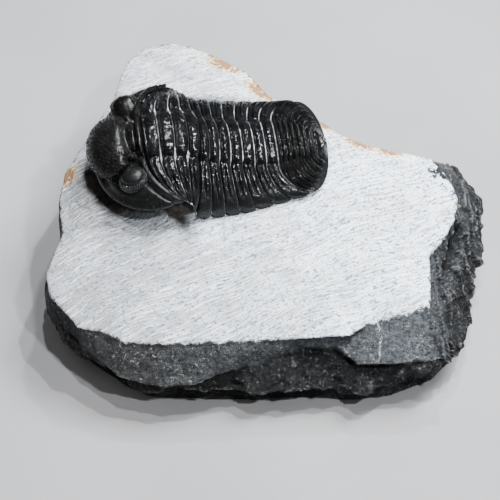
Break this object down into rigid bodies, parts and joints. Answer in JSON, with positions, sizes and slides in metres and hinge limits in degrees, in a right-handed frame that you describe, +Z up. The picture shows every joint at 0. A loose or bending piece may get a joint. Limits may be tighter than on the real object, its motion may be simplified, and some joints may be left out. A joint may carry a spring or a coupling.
{
  "type": "trilobite fossil",
  "caption": "Partly enrolled black phacopid trilobite, prepared proud of a pale limestone block with rough dark broken sides.",
  "frame": {"origin": "middle of the block's bounding box, on its flat base", "axes": "+Z up from the base; the fossil's head points towards -X, and its left side towards -Y; the block's long dimension is along X"},
  "size_m": [0.096, 0.0904, 0.0369],
  "materials": {
    "limestone": "natural limestone: pale abraded prepared top, dark grey crystalline broken sides",
    "head_shell": "black calcite exoskeleton, polished, tuberculate",
    "thorax_shell": "black calcite exoskeleton, glossy, ribbed",
    "tail_shell": "black calcite exoskeleton, glossy, ribbed and granular"
  },
  "bodies": {
    "root": {"matrix": "limestone", "cephalon": "head_shell", "thorax_segment_01": "thorax_shell", "thorax_segment_02": "thorax_shell", "thorax_segment_03": "thorax_shell", "thorax_segment_04": "thorax_shell", "thorax_segment_05": "thorax_shell", "thorax_segment_06": "thorax_shell", "thorax_segment_07": "thorax_shell", "thorax_segment_08": "thorax_shell", "thorax_segment_09": "thorax_shell", "thorax_segment_10": "thorax_shell", "thorax_segment_11": "thorax_shell", "pygidium": "tail_shell"}
  },
  "joints": []
}
